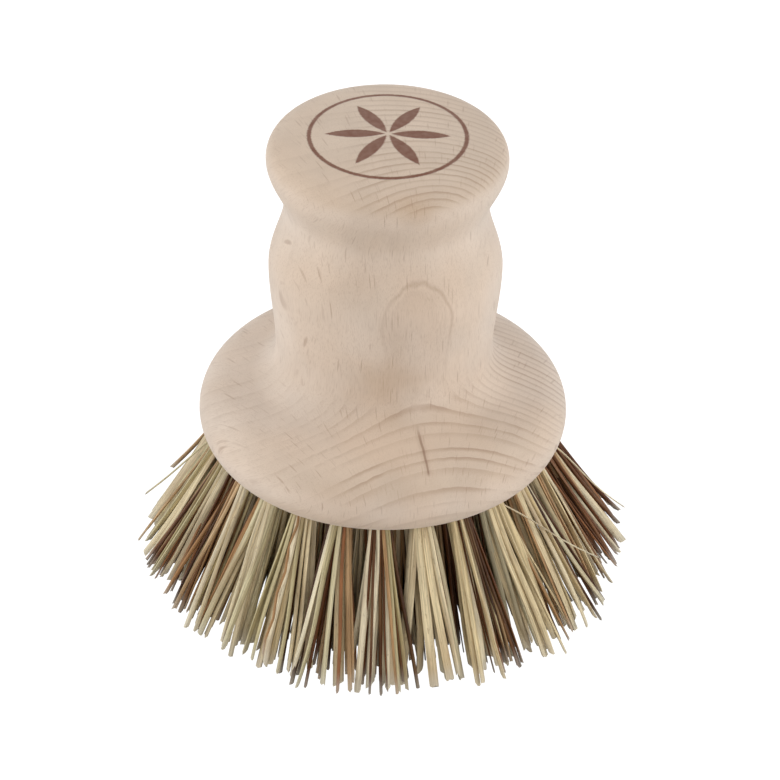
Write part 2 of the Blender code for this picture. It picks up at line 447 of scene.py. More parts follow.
def place_in_tree():
    """A group that turns a point into (round, out, up) in the tree. Out is nought at the block's axis."""
    wanted = {"Place": "Vector", "Out": "Float"}
    tree, (point,), result = new_group("place_in_tree", {"Point": "Vector"}, wanted)
    plan = vector_maths("MULTIPLY", point, IN_PLAN)
    height = parts(point)[2]
    above = height - BARREL_LEVEL
    heart = vector_maths("MULTIPLY_ADD", above, HEART_DRIFT, HEART)
    to_right = Vector((-HEART[1], HEART[0], 0.0)).normalized()
    aside = vector_maths("DOT_PRODUCT", plan, to_right, output="Value")
    out = distance(plan, heart) - distance(heart, AXIS)
    out += RING_LEAN * above + RING_BOW * above * above * above
    out += aside * (SIDE_LEAN + SIDE_TWIST * above + SIDE_BOW * aside * aside)

    from_rays = parts(vector_maths("SUBTRACT", plan, RAY_HEART))
    angle = maths("ARCTAN2", from_rays[0], from_rays[1]) + math.atan2(RAY_HEART[0], -RAY_HEART[1])
    around = angle * math.hypot(*RAY_HEART)
    place = outcome(tree, "ShaderNodeCombineXYZ", {0: around, 1: out, 2: height})
    feed(result, {"Place": place, "Out": out})
    return tree


tree_place = place_in_tree()
print("group", tree_place.name, "has", len(tree_place.nodes), "nodes")

# %% [markdown]
# Growth rings
#
# Some years are wide and some are narrow. The first rings, which lie on the front of the head, are measured
# one by one, and a Float Curve turns a distance into a ring number along them. After those the rings follow
# each other evenly. In each ring the wood darkens slowly and ends in a sharp edge, and some years are
# darker than others, which a White Noise node decides from the ring's number. On the left of this blank the
# lines are faint and broken.
#
# One ring closes into an eye on the front of the barrel. It strays a little from its neighbours, so it is
# drawn by itself, as the place where the distance in the tree has one value.

# %% Node group: growth rings
FIRST_RINGS = (-0.0344, -0.0303, -0.0280, -0.0259, -0.0225, -0.0205, -0.0182, -0.0159, -0.0144, -0.0129)
RING_STEP = 0.0016
EARLY_STEP = 0.0030  # the width of the rings before the first one
EDGE_OF_RING = 0.94  # where in a year its dark edge lies
RING_WANDER, RING_SHAKE = 0.0006, 0.0004
EYE_RING, EYE_WIDTH = -0.01725, 0.00028  # where in the tree the eye lies, and its line's width
EYE_PLACE = (0.0045, 0.0597)  # its middle, as x and height
EYE_TILT = (-0.067, 0.085)  # how it strays from the other rings, for each metre to the right and up
EYE_BLUR, EYE_TONE = 0.0006, 0.26  # the soft edge and the share of the darker wood inside the eye


def ring_number(out):
    """The year that a distance lies in, as a number with its fraction."""
    first, last, count = FIRST_RINGS[0], FIRST_RINGS[-1], len(FIRST_RINGS) - 1
    share = outcome(out.tree, "ShaderNodeMapRange", {"Value": out, "From Min": first, "From Max": last})
    curve = add(out.tree, "ShaderNodeFloatCurve", {"Value": share})
    points = curve.mapping.curves[0].points
    for number, ring in enumerate(FIRST_RINGS[1:-1], 1):
        points.new((ring - first) / (last - first), number / count)
    for point in points:
        point.handle_type = "VECTOR"
    curve.mapping.update()
    later = maths("MAXIMUM", out - last, 0.0) * (1 / RING_STEP)
    earlier = maths("MINIMUM", out - first, 0.0) * (1 / EARLY_STEP)
    return Value(curve.outputs[0]) * count + EDGE_OF_RING + later + earlier


def clearness(place, across, height):
    """How clear the lines are: less in some places, faint and broken on the left."""
    clear = ramp(noise(place, 70.0), 0.36, 0.60, 0.45, 1.0) * ramp(across, -0.0130, 0.0010, 0.22, 1.0)
    pieces = ramp(noise(place, 640.0, 1.0), 0.44, 0.60)
    whole = maths("MAXIMUM", pieces, ramp(across, -0.0110, -0.0030))
    below_knob = ramp(height, 0.070, 0.072, 1.0, 0.0)
    return clear * whole * maths("MAXIMUM", ramp(across, -0.0085, -0.0020, 0.25, 1.0), below_knob)


def barrel_eye(out, across, height):
    """The line of the eye, clearest at its upper right, and the darker wood inside it."""
    off = out + EYE_TILT[0] * (across - EYE_PLACE[0]) + EYE_TILT[1] * (height - EYE_PLACE[1]) - EYE_RING
    line = ramp(maths("ABSOLUTE", off), 0.0, EYE_WIDTH, 1.0, 0.0) * ramp(across, -0.0010, 0.0040, 0.5, 1.0)
    return line * ramp(height, 0.0500, 0.0580, 0.3, 1.0) + EYE_TONE * ramp(off, -EYE_BLUR, 0.0, 1.0, 0.0)


def growth_rings():
    """A group that gives the dark edge of each year, the eye on the barrel, and the tone across a year."""
    given = {"Place": "Vector", "Point": "Vector"}
    wanted = {"Line": "Float", "Eye": "Float", "Tone": "Float"}
    tree, (place, point), result = new_group("growth_rings", given, wanted)
    _around, out, height = parts(place)
    across = parts(point)[0]
    shaken = out + shake(place, 420.0, RING_SHAKE)
    years = ring_number(shaken + shake(place, 45.0, RING_WANDER))
    season = maths("FRACT", years)
    strength = outcome(tree, "ShaderNodeTexWhiteNoise", {"W": maths("FLOOR", years)}, noise_dimensions="1D")
    edge = ramp(season, 0.50, EDGE_OF_RING) * ramp(season, 0.955, 1.0, 1.0, 0.0)
    line = edge * ramp(strength, 0.0, 1.0, 0.55, 1.0) * clearness(place, across, height)
    on_barrel = ramp(height, 0.045, 0.048) * ramp(height, 0.068, 0.071, 1.0, 0.0)
    feed(result, {
        "Line": line * (1.0 - 0.8 * on_barrel),
        "Eye": on_barrel * barrel_eye(shaken, across, height),
        "Tone": season * strength,
    })
    return tree


ring_pattern = growth_rings()
print("group", ring_pattern.name, "has", len(ring_pattern.nodes), "nodes")

# %% [markdown]
# Rays and pores
#
# Beech is known by its rays: thin upright sheets that run outwards from the heart. Stretched cells of a
# Voronoi texture are such sheets. The surface cuts them into short upright dashes on the front and the
# back, into fine lines across the rings on the end grain, and into broader flecks at the sides. One ray on
# the front of the head is much darker than the others, with browner wood beside it. Pores are finer, and a
# stretched noise draws them.

# %% Node group: rays and pores
RAY_SIZE = (0.00050, 0.0052, 0.0066)
FINE_RAY_SIZE = (0.00024, 0.0032, 0.0030)
PORE_SIZE = (0.00013, 0.00013, 0.0022)
DARK_RAY_ROUND, DARK_RAY_SLANT = 0.0044, -0.218  # where the dark ray lies halfway along, and how it slants
DARK_RAY_HALF = 0.00034
DARK_RAY_GLOW, DARK_RAY_GLOW_SHARE = 0.0019, 0.30  # the brown wood beside it
DARK_RAY_FROM, DARK_RAY_TO = -0.0318, -0.0186
DARK_RAY_TOP = 0.0400


def ray_cells(place, size, width):
    """One inside the rays of this size and nought between them."""
    inputs = {"Vector": vector_maths("DIVIDE", place, size), "Scale": 1.0, "Randomness": 1.0}
    cells = add(place.tree, "ShaderNodeTexVoronoi", inputs, feature="F1").outputs
    inside = ramp(Value(cells["Distance"]), width * 0.45, width, 1.0, 0.0)
    chosen = outcome(place.tree, "ShaderNodeSeparateColor", {0: Value(cells["Color"])})
    return inside * ramp(chosen, 0.30, 0.95)


def dark_ray(place, out):
    """One inside the single dark ray, less in the wood beside it, nought elsewhere."""
    around, _out, height = parts(place)
    middle = DARK_RAY_ROUND + DARK_RAY_SLANT * (out - (DARK_RAY_FROM + DARK_RAY_TO) / 2)
    off = maths("ABSOLUTE", around + shake(place, 260.0, 0.0007) - middle)
    near = ramp(off, DARK_RAY_HALF * 0.4, DARK_RAY_HALF * 1.8, 1.0, 0.0)
    near = maths("MAXIMUM", near, ramp(off, 0.0, DARK_RAY_GLOW, DARK_RAY_GLOW_SHARE, 0.0))
    begun = ramp(out, DARK_RAY_FROM, DARK_RAY_FROM + 0.0012)
    not_over = ramp(out, DARK_RAY_TO - 0.0055, DARK_RAY_TO, 1.0, 0.0)
    return near * begun * not_over * ramp(height, DARK_RAY_TOP - 0.002, DARK_RAY_TOP, 1.0, 0.0)


def rays_and_pores():
    """A group that gives the rays, the one dark ray, and the fine upright texture of the pores."""
    given = {"Place": "Vector", "Out": "Float"}
    wanted = {"Rays": "Float", "Dark ray": "Float", "Pores": "Float"}
    tree, (place, out), result = new_group("rays_and_pores", given, wanted)
    broad, thin = ray_cells(place, RAY_SIZE, 0.30), ray_cells(place, FINE_RAY_SIZE, 0.33)
    feed(result, {
        "Rays": maths("MAXIMUM", broad, 0.55 * thin),
        "Dark ray": dark_ray(place, out),
        "Pores": noise(vector_maths("DIVIDE", place, PORE_SIZE), 1.0, 2.0, 0.6),
    })
    return tree


ray_pattern = rays_and_pores()
print("group", ray_pattern.name, "has", len(ray_pattern.nodes), "nodes")

# %% [markdown]
# The burnt ornament on the knob
#
# A wooden brush often carries a mark burnt into its top. This one is a plain six-petalled rosette in a thin
# ring, an old turner's ornament that anyone can draw with compasses. A petal is what two circles share. So
# the group measures a point's distance from the six circle centres, and needs no picture.

# %% Node group: burnt rosette
ROSETTE_CIRCLE = 0.0104
ROSETTE_RING = 0.0124
ROSETTE_RING_WIDTH = 0.00034
PETAL_INSET = 0.00025
BURN_BLUR, BURN_SHAKE = 0.00016, 0.00022
PETALS = 6


def burnt_rosette():
    """A group that gives one where the iron touched: six petals and the ring round them."""
    tree, (point,), result = new_group("burnt_rosette", {"Point": "Vector"}, {"Burn": "Float"})
    plan = vector_maths("MULTIPLY", point, IN_PLAN)
    reaches = []
    for circle in range(PETALS):
        angle = 2 * math.pi * circle / PETALS
        centre = (ROSETTE_CIRCLE * math.cos(angle), ROSETTE_CIRCLE * math.sin(angle), 0.0)
        reaches.append(distance(plan, centre))
    nearest = maths("ABSOLUTE", distance(plan, AXIS) - ROSETTE_RING) - ROSETTE_RING_WIDTH
    for petal in range(PETALS):
        inside = maths("MAXIMUM", reaches[petal], reaches[petal - 2]) - (ROSETTE_CIRCLE - PETAL_INSET)
        nearest = maths("MINIMUM", nearest, inside)
    burn = ramp(nearest + shake(point, 2600.0, BURN_SHAKE), -BURN_BLUR, BURN_BLUR, 1.0, 0.0)
    top = outline[-1][1]
    feed(result, {"Burn": burn * ramp(parts(point)[2], top - 0.0040, top - 0.0030)})
    return tree


rosette = burnt_rosette()
print("group", rosette.name, "has", len(rosette.nodes), "nodes")

# %% [markdown]
# Colours and materials
#
# Colours are written as they look on a screen, from 0 to 255, and turned into the linear light that the
# shaders work in. A material starts as one Principled BSDF. What is the same all over the surface is set on
# the shader's own sockets.

# %% Material helpers
def grey(level):
    """The grey of this level."""
    return outcome(level.tree, "ShaderNodeCombineColor", {0: level, 1: level, 2: level})


def mixed(share, first, second, blend="MIX"):
    """The colour between first and second."""
    inputs = {"Factor": share, 6: first, 7: second}
    return outcome(tree_of(inputs.values()), "ShaderNodeMix", inputs, 2, data_type="RGBA", blend_type=blend)


def new_material(name, roughness, specular=0.5, metallic=0.0):
    """A material with one Principled BSDF. Its steady values are set on the shader's own sockets."""
    material = bpy.data.materials.new(name)
    material.use_nodes = True
    shader = material.node_tree.nodes["Principled BSDF"]
    feed(shader, {"Roughness": roughness, "Specular IOR Level": specular, "Metallic": metallic})
    return material, material.node_tree, shader


def from_screen(red, green, blue):
    """A screen colour from 0 to 255 as the linear light that the shaders work in."""
    light = [((c / 255 + 0.055) / 1.055) ** 2.4 for c in (red, green, blue)]
    return (*light, 1.0)


print("white as linear light:", from_screen(255, 255, 255))

# %% [markdown]
# Raw beech
#
# The wood is sanded and left raw: pale, a little pink, and matt. Where the surface cuts across the grain,
# it drinks in light and looks browner, which the upright part of the normal tells. Away from the heart the
# end grain is paler. A warm stain lies on the knob's front edge, and a browner patch of painted shade lies in
# the cove at the barrel's foot. Rings, rays and pores darken the wood slightly, and very little of them goes
# into the bump, because sanded beech feels smooth.

# %% Material: raw beech
SIDE_GRAIN = from_screen(214, 195, 178)
END_GRAIN = from_screen(206, 185, 165)
PALE_END = from_screen(211, 193, 177)  # end grain of the head, away from the heart
WARM_GRAIN = from_screen(204, 178, 154)
# A warm stain on the knob's front edge, and painted shade in the cove at the barrel's foot.
STAIN_AND_COVE_SHADE = (  # place, reach and share: one on the knob's front edge and one at the barrel's foot
    ((0.0045, -0.0180, 0.0796), 0.0062, 0.36),
    ((0.0000, -0.0180, 0.0465), 0.0130, 0.38),
)
# The brown of the stain and of the painted shade in the cove.
STAIN_AND_SHADE_BROWN = from_screen(186, 152, 116)
RING_BROWN = from_screen(150, 116, 90)
RAY_BROWN = from_screen(150, 116, 92)
DARK_RAY_BROWN = from_screen(116, 74, 44)
BURNT = from_screen(106, 52, 18)


def plain_beech(point, place, end, on_head):
    """The colour of the wood without its figure, with painted shade in the cove at the barrel's foot."""
    pale = ramp(place["Out"], -0.0260, -0.0060) * on_head
    colour = mixed(end, SIDE_GRAIN, mixed(pale, END_GRAIN, PALE_END))
    colour = mixed(ramp(noise(place["Place"], 55.0), 0.40, 0.66, 0.0, 0.34), colour, WARM_GRAIN)
    # The warm stain on the knob, and the painted shade in the cove at the barrel's foot.
    for middle, reach, share in STAIN_AND_COVE_SHADE:
        off = distance(point, middle) + 0.65 * reach * noise(point, 2.1 / reach)
        colour = mixed(ramp(off, 0.35 * reach, reach, share, 0.0), colour, STAIN_AND_SHADE_BROWN)
    return mixed(1.0, colour, grey(ramp(noise(point, 110.0, 3.0), 0.3, 0.7, 0.94, 1.03)), "MULTIPLY")


def figured(colour, rings, marks, end, clear):
    """The colour with rings, rays and pores over it. The rings show where clear is high."""
    layers = (
        (rings["Line"] * (0.02 + 0.48 * clear) + 0.32 * rings["Eye"], RING_BROWN),
        (rings["Tone"] * ramp(end, 0.0, 1.0, 0.05, 0.10), RING_BROWN),
        (marks["Rays"] * ramp(end, 0.0, 1.0, 0.46, 0.38), RAY_BROWN),
        (0.62 * marks["Dark ray"], DARK_RAY_BROWN),
        (ramp(marks["Pores"], 0.48, 0.76, 0.0, 0.32), RAY_BROWN),
    )
    for share, brown in layers:
        colour = mixed(share, colour, brown)
    return colour


def raw_beech():
    """The block's material."""
    material, tree, shader = new_material("raw_beech", 0.62, specular=0.32)
    feed(shader, {"Sheen Weight": 0.24, "Sheen Roughness": 0.55})  # the fine fuzz of sanded wood
    point = outcome(tree, "ShaderNodeTexCoord", output="Object")
    upward = parts(outcome(tree, "ShaderNodeNewGeometry", output="Normal"))[2]
    place = use_group(tree_place, {"Point": point})
    rings = use_group(ring_pattern, {"Place": place["Place"], "Point": point})
    marks = use_group(ray_pattern, {"Place": place["Place"], "Out": place["Out"]})
    burn = use_group(rosette, {"Point": point})["Burn"]

    level = maths("ABSOLUTE", upward)
    end = ramp(level, 0.06, 0.62)
    on_head = ramp(parts(point)[2], 0.0450, 0.0470, 1.0, 0.0)
    clear = maths("MAXIMUM", ramp(level, 0.0, 0.30) * on_head, ramp(upward, 0.25, 0.70))
    colour = figured(plain_beech(point, place, end, on_head), rings, marks, end, clear)
    scorch = burn * ramp(noise(point, 900.0), 0.2, 0.8, 0.88, 1.0)
    dip = 0.12 * rings["Line"] - 0.25 * marks["Pores"] - 0.9 * burn
    feed(shader, {
        "Base Color": mixed(scorch, colour, BURNT),
        "Roughness": 0.64 - 0.10 * marks["Rays"] + 0.12 * burn,
        "Normal": outcome(tree, "ShaderNodeBump", {"Height": dip, "Strength": 0.5, "Distance": 0.00010}),
    })
    return material


beech = raw_beech()
block.data.materials.clear()
block.data.materials.append(beech)
print("material", beech.name, "has", len(beech.node_tree.nodes), "nodes")

# %% [markdown]
# Choosing the fibres of a tuft
#
# A tuft is a pinch of mixed plant fibre: flat pale strips, greenish ones, tan, russet and nearly black
# round ones. Each fibre is folded in the middle, so it shows two ends of one colour. Many stalks have split
# lengthwise, so two or three fibres of one colour keep together. Fibres are drawn at random until they fill
# their half of the hole. The random numbers are seeded, so that the brush is the same each time.

# %% Choose the fibres
FIBRE_KINDS = (  # name, tones, radii and flatness
    ("pale", (0.00, 0.20), (0.00026, 0.00054), (0.30, 0.66)),
    ("green", (0.20, 0.40), (0.00024, 0.00046), (0.38, 0.75)),
    ("tan", (0.40, 0.60), (0.00018, 0.00034), (0.55, 0.90)),
    ("russet", (0.60, 0.80), (0.00016, 0.00034), (0.60, 0.90)),
    ("umber", (0.80, 1.00), (0.00013, 0.00032), (0.80, 1.00)),
)
FIBRE_SHARES = (29, 15, 21, 16, 29)
STALK_SPLITS = ((1, 1, 2, 2, 3), (1, 1, 2, 2), (1, 1, 2), (1, 1, 2), (1,))  # for each kind
TONE_IN_STALK = 0.02
BUNDLE_RADIUS = 0.00198
ANCHOR_THICKNESS = 0.00045
FILLED_SHARE = 0.92
STALK_REACH, STALK_LOOSENESS = 0.0016, 0.0001
PACKING_ROUNDS, PUSH, ANCHOR_GAP = 90, 0.35, 0.00003

Fibre = namedtuple("Fibre", "tone radius flatness stalk")


def draw_fibres(chance, darkness, coarseness=1.0):
    """The fibres that fill half a hole. darkness from 0 to 1 favours dark kinds."""
    shares = [s * (1.3 - darkness if k < 2 else 0.4 + 1.2 * darkness) for k, s in enumerate(FIBRE_SHARES)]
    room = FILLED_SHARE * BUNDLE_RADIUS * (math.pi * BUNDLE_RADIUS / 2 - ANCHOR_THICKNESS)
    fibres, stalk = [], 0
    while room > 0:
        kind = chance.choices(range(len(FIBRE_KINDS)), weights=shares)[0]
        _name, tones, radii, flatness = FIBRE_KINDS[kind]
        tone = chance.uniform(*tones)
        for _ in range(chance.choice(STALK_SPLITS[kind])):
            radius = coarseness * chance.uniform(*radii)
            near_tone = min(tones[1], max(tones[0], tone + chance.gauss(0, TONE_IN_STALK)))
            fibres.append(Fibre(near_tone, radius, chance.uniform(*flatness), stalk))
            room -= math.pi * radius * radius
        stalk += 1
    return fibres


def either_way(chance, most):
    """A random amount, at most this much either way."""
    return chance.uniform(-most, most)


def packed(fibres, chance):
    """Places in the half of the hole beyond the anchor, pushed apart until the fibres lie side by side."""
    radii = np.array([fibre.radius for fibre in fibres])
    stalks = [(chance.uniform(STALK_REACH / 4, STALK_REACH), either_way(chance, STALK_REACH)) for _ in fibres]
    places = np.array([stalks[fibre.stalk] for fibre in fibres])
    places += np.array([[either_way(chance, STALK_LOOSENESS) for _ in range(2)] for _fibre in fibres])
    for _round in range(PACKING_ROUNDS):
        apart = places[:, None] - places[None]
        between = np.linalg.norm(apart, axis=2) + 1e-9
        np.fill_diagonal(between, 1.0)
        overlap = np.clip(radii[:, None] + radii[None] - between, 0, None)
        places += PUSH * (apart / between[..., None] * overlap[..., None]).sum(1)
        places[:, 0] = np.maximum(places[:, 0], ANCHOR_THICKNESS / 2 + radii + ANCHOR_GAP)
        reach = np.linalg.norm(places, axis=1)
        places *= np.minimum(1, (BUNDLE_RADIUS - radii) / np.maximum(reach, 1e-9))[:, None]
    return places


print("a sample tuft has", 2 * len(draw_fibres(random.Random(1), 0.5)), "fibre ends")

# %% [markdown]
# The way of one fibre
#
# A fibre comes up one side of the anchor, bends over it in half an ellipse and goes down on the other side.
# Outside the hole its two legs fan out, more to the sides than outwards, each with its own slight curve, as
# stiff plant fibres do. The trimmed end lies on a shallow bowl, because the machine trims the tufts from
# below, and its height varies a little.

# %% Lay one fibre
FOLD_TOP, FOLD_STEPS = 0.0055, 8
FOLD_GAP, FOLD_ROUNDNESS = 0.00004, 0.72
FAN_ASIDE = math.tan(math.radians(1.0))  # for each degree that a tuft fans out
WANDER = math.tan(math.radians(1.15))
STRAY_SHARE, STRAY_WANDER = 0.04, 2.6
BEND, WAVE = 0.0006, 0.0006 / 7
LEG_STEPS = 12
AIMING_ROUNDS = 4  # how often a leg is made longer or shorter until its end meets the cut
TRIM_RISE, TRIM_REACH, TRIM_FLAT = 0.0026, 0.0375, 0.0005


def trim_height(reach, uneven):
    """The height at which an end this far from the middle is cut."""
    return max(0.0, TRIM_RISE * (reach / TRIM_REACH) ** 2 - TRIM_FLAT + uneven)


def fan_aside(share, fan):
    """The slope to the side of a leg that starts at this share of the hole's radius, from -1 to 1."""
    return fan * FAN_ASIDE * share * (1.25 - 0.25 * share * share)


def draw_way(chance):
    """How a leg strays, in local X and Y: two shares of its aim, two of its bend and two of its wave."""
    stray = STRAY_WANDER if chance.random() < STRAY_SHARE else 1.0
    spread = (stray * WANDER, stray * WANDER, BEND, BEND, WAVE, WAVE)
    return np.array([chance.gauss(0, amount) for amount in spread])


def leg(root, seat, way, uneven, height=None, curls=1):
    """Local points of one leg, from the mouth of the hole to its trimmed end, and the height of that end."""
    aim = np.array([way[0], way[1], -1.0])
    bend = np.array([way[2], way[3], 0.0])
    wave = np.array([way[4], way[5], 0.0])
    start = np.array([root[0], root[1], -HOLE_RADIUS * math.tan(seat.lean)])
    world = np.array(seat.matrix)
    turn, place = world[:3, :3], world[:3, 3]
    shares = np.linspace(0, 1, LEG_STEPS + 1)[:, None]
    swing = np.sin(2 * math.pi * curls * shares)
    length = UNDERSIDE
    for _ in range(AIMING_ROUNDS):
        points = start + aim * shares * length + bend * shares**2 + wave * swing
        tip = turn @ points[-1] + place
        cut = trim_height(math.hypot(tip[0], tip[1]), uneven) if height is None else height
        length -= (cut - tip[2]) / -(turn @ aim)[2]
    return points, cut


def fold(root, radius):
    """Local points from one side of the anchor over its top to the other side."""
    side = root[0]
    height = radius + FOLD_GAP + FOLD_ROUNDNESS * (side - ANCHOR_THICKNESS / 2 - radius)
    angles = np.linspace(0, math.pi, FOLD_STEPS + 1)
    aside = np.full(FOLD_STEPS + 1, root[1])
    return np.stack([side * np.cos(angles), aside, FOLD_TOP + height * np.sin(angles)], 1)


print("one fold over the anchor has", len(fold((0.0006, 0.0), 0.0003)), "points")

# %% [markdown]
# A tube round the way
#
# A Curve object with a bevel would give round, even tubes. Plant fibre is neither: it is ribbed, often
# flat, twisted a little, and thinner towards its end. So the tube is built from rings of corners, and NumPy
# works out a whole fibre at once.

# %% Build one fibre
FIBRE_SIDES = 7
SIDE_ANGLES = 2 * math.pi * np.arange(FIBRE_SIDES) / FIBRE_SIDES
END_TILT = 0.45
END_RAGGED = 0.00014
LOWEST_END = 0.00002  # above the floor


def frames_along(points):
    """The direction of a fibre at each of its points, and two directions across it."""
    along = np.gradient(points, axis=0)
    along /= np.linalg.norm(along, axis=1)[:, None]
    across = np.array([0.0, 1.0, 0.0]) - along * along[:, 1:2]
    across /= np.linalg.norm(across, axis=1)[:, None]
    return along, across, np.cross(along, across)


def tube(points, fibre, seat_matrix, cuts, chance):
    """World corners of a fibre along local points, as an array of rings."""
    along, across, other = frames_along(points)
    shares = np.linspace(-1, 1, len(points))
    thick = fibre.radius * (1.04 - 0.20 * np.abs(shares) ** 3 * chance.random())
    thick *= 1 + 0.05 * np.sin(shares * chance.uniform(4, 9) + chance.uniform(0, 6))
    turn = chance.uniform(0, math.pi) + shares * chance.gauss(0, 0.5)
    ribs = np.array([chance.uniform(0.88, 1.08) for _ in range(FIBRE_SIDES)])
    wide = ribs * np.cos(SIDE_ANGLES) / math.sqrt(fibre.flatness)
    thin = ribs * np.sin(SIDE_ANGLES) * math.sqrt(fibre.flatness)
    cos, sin = np.cos(turn)[:, None], np.sin(turn)[:, None]
    first, second = wide * cos - thin * sin, wide * sin + thin * cos
    rings = points[:, None] + thick[:, None, None] * (
        first[..., None] * across[:, None] + second[..., None] * other[:, None]
    )
    world = np.array(seat_matrix)
    rings = rings @ world[:3, :3].T + world[:3, 3]
    heading = along @ world[:3, :3].T
    for end, cut in zip((0, -1), cuts):
        centre = rings[end].mean(0)
        tilt = np.array([either_way(chance, END_TILT) for _ in range(2)])
        ragged = np.array([chance.gauss(0, END_RAGGED) for _ in range(FIBRE_SIDES)])
        level = np.maximum(LOWEST_END, cut + (rings[end][:, :2] - centre[:2]) @ tilt + ragged)
        rings[end] += heading[end] * ((level - rings[end][:, 2]) / heading[end][2])[:, None]
    return rings


print("each ring of a fibre has", FIBRE_SIDES, "corners")

# %% [markdown]
# Skin and map of a fibre
#
# The rings are closed into a tube with two ends. The same loops give every face its place on a flat map,
# where the tube is unrolled into a strip. Every corner also gets a place on its fibre, from which the
# material reads its streaks.

# %% Close one fibre
STRIP_PLACE, STRIP_SIZE = (0.07, 0.01), (0.86, 0.98)  # of a fibre's strip within its share of the map
STRIP_SHARE = 0.96  # of the strip's height, which the side of the fibre takes up
END_LEVEL, END_WIDTH, END_HEIGHT = 0.982, 0.2, 0.012  # of the ends above it


def own_places(travelled, radius, chance):
    """The corners' places on their fibre, moved at random, so that no two fibres look alike."""
    place = np.empty((len(travelled), FIBRE_SIDES, 3))
    place[..., 0] = radius * np.cos(SIDE_ANGLES)
    place[..., 1] = radius * np.sin(SIDE_ANGLES)
    place[..., 2] = travelled[:, None]
    return (place + [chance.uniform(0, 1) for _ in range(3)]).reshape(-1, 3)


def fibre_faces(rings, offset):
    """Corner numbers of the tube's quads and then of its two ends."""
    sides = FIBRE_SIDES
    faces = []
    for ring in range(rings - 1):
        low = offset + ring * sides
        for side in range(sides):
            after = (side + 1) % sides
            faces.append((low + side, low + after, low + sides + after, low + sides + side))
    last = offset + (rings - 1) * sides
    return faces + [tuple(range(offset + sides - 1, offset - 1, -1)), tuple(range(last, last + sides))]


def strip_map(rings, number, fibres):
    """Flat map places of the same faces' corners: the tube unrolled into its own strip, its ends above it."""
    sides, places = FIBRE_SIDES, []
    for ring in range(rings - 1):
        low, high = STRIP_SHARE * ring / (rings - 1), STRIP_SHARE * (ring + 1) / (rings - 1)
        for side in range(sides):
            places += [(side / sides, low), ((side + 1) / sides, low)]
            places += [((side + 1) / sides, high), (side / sides, high)]
    for middle, turn in ((0.25, -1), (0.75, 1)):
        for angle in turn * SIDE_ANGLES:
            places.append((middle + END_WIDTH * math.cos(angle), END_LEVEL + END_HEIGHT * math.sin(angle)))
    return (np.array(places) * STRIP_SIZE + STRIP_PLACE + (number, 0)) / (fibres, 1.0)


print("a fibre has", FIBRE_SIDES, "sides and", 2 * (LEG_STEPS + 1) + FOLD_STEPS + 1, "rings")

# %% [markdown]
# The mixture of each tuft
#
# The mixture changes slowly round the brush: the front and the left get more of the pale ones, the right and
# the inner rings more of the dark ones. These are painted light and shade in the fibres' colours: painted
# light on the front and the left, painted shade on the right and on the inner rings, which lie in the shade
# of the outer ones. Each tuft is also a little coarser or finer than the next. Three long thin fibres have
# come loose, and one has curled up.

# %% Mix the fibres of a tuft
# The second, third and fourth numbers paint light and shade into the mixture: painted shade on the right,
# painted light on the front, painted shade on the inner rings.
DARKNESS, SHADE_PAINTED_RIGHT, LIGHT_PAINTED_FRONT, SHADE_PAINTED_INSIDE, DARKNESS_VARIES = 0.83, 0.26, 0.32, 0.35, 0.25
COARSENESS = (0.82, 1.20)
OUTER_FANS, INNER_FAN = (7.4, 9.2), 9.8  # in degrees
LOOSE_FIBRES = {  # tuft: tone, radius, slope outwards, slope aside, height of the tip, curls, their size
    "1_19": (0.30, 0.00017, 0.26, 0.00, 0.0116, 1, 0.0002),
    "1_07": (0.06, 0.00014, 0.26, 0.00, 0.0102, 1, 0.0002),
    "1_04": (0.01, 0.00013, 0.06, 0.87, 0.0108, 1, 0.0002),
    "1_23": (0.57, 0.00021, 0.06, 0.03, 0.0052, 3, 0.00044),
}
LOOSE_ROOT, LOOSE_FLATNESS = (0.0016, 0.0), 0.9


def drawn_mixture(seat, loose, chance):
    """The fibres of one tuft, the places of their roots, and how wide the tuft fans out."""
    # Painted shade on the right and on the inner rings, and painted light on the front and the left, go into
    # the darkness of the mixture.
    darkness = DARKNESS + SHADE_PAINTED_RIGHT * math.cos(seat.azimuth)
    darkness += LIGHT_PAINTED_FRONT * min(0.0, math.sin(seat.azimuth))
    darkness += SHADE_PAINTED_INSIDE * (seat.ring > 0)
    darkness += chance.gauss(0, DARKNESS_VARIES)
    fan = chance.uniform(*OUTER_FANS) if seat.ring == 0 else INNER_FAN
    fibres = draw_fibres(chance, min(1.1, max(0.0, darkness)), chance.uniform(*COARSENESS))
    roots = [tuple(place) for place in packed(fibres, chance)]
    if loose:
        fibres.append(Fibre(loose[0], loose[1], LOOSE_FLATNESS, 0))
        roots.append(LOOSE_ROOT)
    return fibres, roots, fan


print("a try at the first tuft has", len(drawn_mixture(seats[0], None, random.Random(1))[0]), "fibres")

# %% [markdown]
# Making the tufts
#
# Each tuft is one piece, as it is when it is pulled out of its hole. The brush has been pushed to one side
# a little, so all tufts lean that way. Each corner keeps its fibre's tone, its place on the fibre and its
# distance from the end, which the material reads.
#
# Each mesh has its own UV map, with one strip for each fibre side by side. A baked picture of a tuft then
# keeps every fibre whole, which an automatic map of so many thin tubes doesn't.

# %% Build the tufts
SEED = 2207
PULL = 0.021  # how far every tuft leans to the right besides its own lean, as a slope
AIM_VARIES = 0.010
FAN_OUT = math.tan(math.radians(2.2)) / BUNDLE_RADIUS
OWN_WAY = 0.35  # how far a fibre leaves the way of its stalk, as a share of how far stalks leave theirs
TRIM_UNEVENNESS = 0.00050
DARK_TONE, SLIPPED_SHARE, SLIPPED_BY = 0.8, 0.12, 0.0009  # some of the darkest slip past the trimmer
FIBRE_SHARP = math.radians(65)


